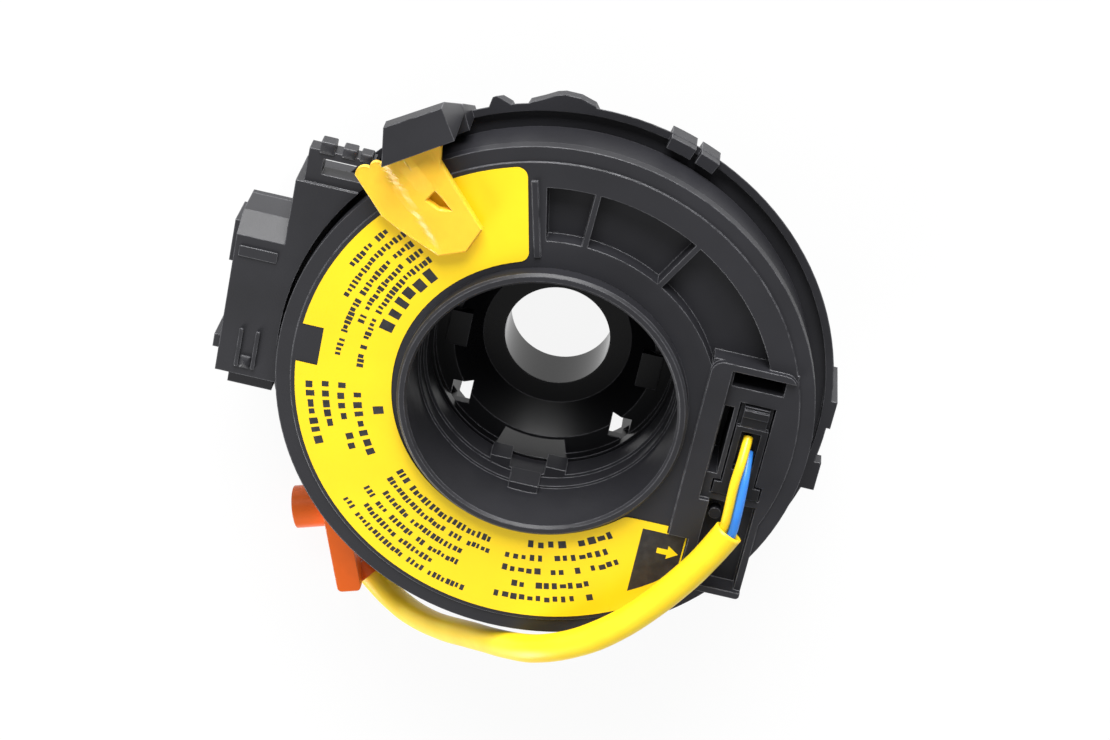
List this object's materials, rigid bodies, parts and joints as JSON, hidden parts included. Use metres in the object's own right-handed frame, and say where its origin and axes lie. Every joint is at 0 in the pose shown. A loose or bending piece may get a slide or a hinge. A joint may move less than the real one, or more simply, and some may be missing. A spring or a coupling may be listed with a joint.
{
  "type": "steering clock spring",
  "caption": "Steering column clock spring: flat cable reel with a turning face, labelled and locked by a stopper, with an airbag lead and a connector block.",
  "frame": {"origin": "centre of the shaft bore at the rear end of the hub", "axes": "+Z along the steering axis towards the driver, +Y towards the connector tray on the rotor, -Y towards the connector block on the case"},
  "size_m": [0.1327, 0.1229, 0.0518],
  "materials": {
    "case_plastic": "black moulded PBT with a fine satin texture",
    "rotor_plastic": "black moulded PBT, satin",
    "hub_plastic": "black acetal, smooth",
    "plug_plastic": "black nylon plug housing",
    "insert_plastic": "natural PBT insert",
    "roller_plastic": "natural acetal",
    "film": "thin low-friction film",
    "cable_film": "flat cable of copper tracks in clear film",
    "label_film": "yellow printed film, slightly glossy",
    "stopper_plastic": "amber yellow moulding, slightly translucent",
    "sleeve_vinyl": "soft yellow vinyl tube",
    "wire_yellow": "yellow wire insulation",
    "wire_blue": "blue wire insulation",
    "squib_orange": "orange connector moulding",
    "pin_metal": "tinned brass pins"
  },
  "bodies": {
    "case": {"case_base": "case_plastic", "case_cover": "case_plastic", "slide_sheet": "film", "outer_terminal": "case_plastic", "terminal_pins": "pin_metal", "socket_insert": "insert_plastic"},
    "rotor": {"rotor_disc": "rotor_plastic", "rotor_drum": "rotor_plastic", "rotor_hub": "hub_plastic", "label_sticker": "label_film", "inner_terminal": "insert_plastic", "lead_plug": "plug_plastic", "plug_lock": "plug_plastic", "wire_yellow": "wire_yellow", "wire_blue": "wire_blue", "lead_sleeve": "sleeve_vinyl", "squib_plug": "squib_orange", "squib_lock": "squib_orange", "flat_cable": "cable_film"},
    "stopper": {"stopper": "stopper_plastic"},
    "carrier": {"roller_carrier": "roller_plastic"},
    "roller_1": {"roller_1": "roller_plastic"},
    "roller_2": {"roller_2": "roller_plastic"},
    "roller_3": {"roller_3": "roller_plastic"},
    "roller_4": {"roller_4": "roller_plastic"},
    "roller_5": {"roller_5": "roller_plastic"},
    "roller_6": {"roller_6": "roller_plastic"}
  },
  "joints": [
    {"name": "rotor_turn", "type": "hinge", "parent": "case", "child": "rotor", "pos_m": [0, 0, 0.02], "axis": [0, 0, 1], "range_deg": [-900, 900], "deforming": ["flat_cable", "wire_yellow", "wire_blue", "lead_sleeve", "squib_plug", "squib_lock"]},
    {"name": "stopper_pull", "type": "slide", "parent": "case", "child": "stopper", "axis": [0.7396, 0.673, 0], "range_m": [0, 0.006]},
    {"name": "carrier_turn", "type": "hinge", "parent": "case", "child": "carrier", "pos_m": [0, 0, 0.015], "axis": [0, 0, 1], "range_deg": [-360, 360]},
    {"name": "roller_1_spin", "type": "hinge", "parent": "carrier", "child": "roller_1", "pos_m": [0.01865, 0.0323, 0.015], "axis": [0, 0, 1], "range_deg": [-2340, 2340]},
    {"name": "roller_2_spin", "type": "hinge", "parent": "carrier", "child": "roller_2", "pos_m": [-0.01865, 0.0323, 0.015], "axis": [0, 0, 1], "range_deg": [-2340, 2340]},
    {"name": "roller_3_spin", "type": "hinge", "parent": "carrier", "child": "roller_3", "pos_m": [-0.0373, 0, 0.015], "axis": [0, 0, 1], "range_deg": [-2340, 2340]},
    {"name": "roller_4_spin", "type": "hinge", "parent": "carrier", "child": "roller_4", "pos_m": [-0.01865, -0.0323, 0.015], "axis": [0, 0, 1], "range_deg": [-2340, 2340]},
    {"name": "roller_5_spin", "type": "hinge", "parent": "carrier", "child": "roller_5", "pos_m": [0.01865, -0.0323, 0.015], "axis": [0, 0, 1], "range_deg": [-2340, 2340]},
    {"name": "roller_6_spin", "type": "hinge", "parent": "carrier", "child": "roller_6", "pos_m": [0.0373, 0, 0.015], "axis": [0, 0, 1], "range_deg": [-2340, 2340]}
  ],
  "couplings": [
    {"joint": "carrier_turn", "follows": "rotor_turn", "ratio": 0.4},
    {"joint": "roller_1_spin", "follows": "rotor_turn", "ratio": -2.6},
    {"joint": "roller_2_spin", "follows": "rotor_turn", "ratio": -2.6},
    {"joint": "roller_3_spin", "follows": "rotor_turn", "ratio": -2.6},
    {"joint": "roller_4_spin", "follows": "rotor_turn", "ratio": -2.6},
    {"joint": "roller_5_spin", "follows": "rotor_turn", "ratio": -2.6},
    {"joint": "roller_6_spin", "follows": "rotor_turn", "ratio": -2.6}
  ]
}
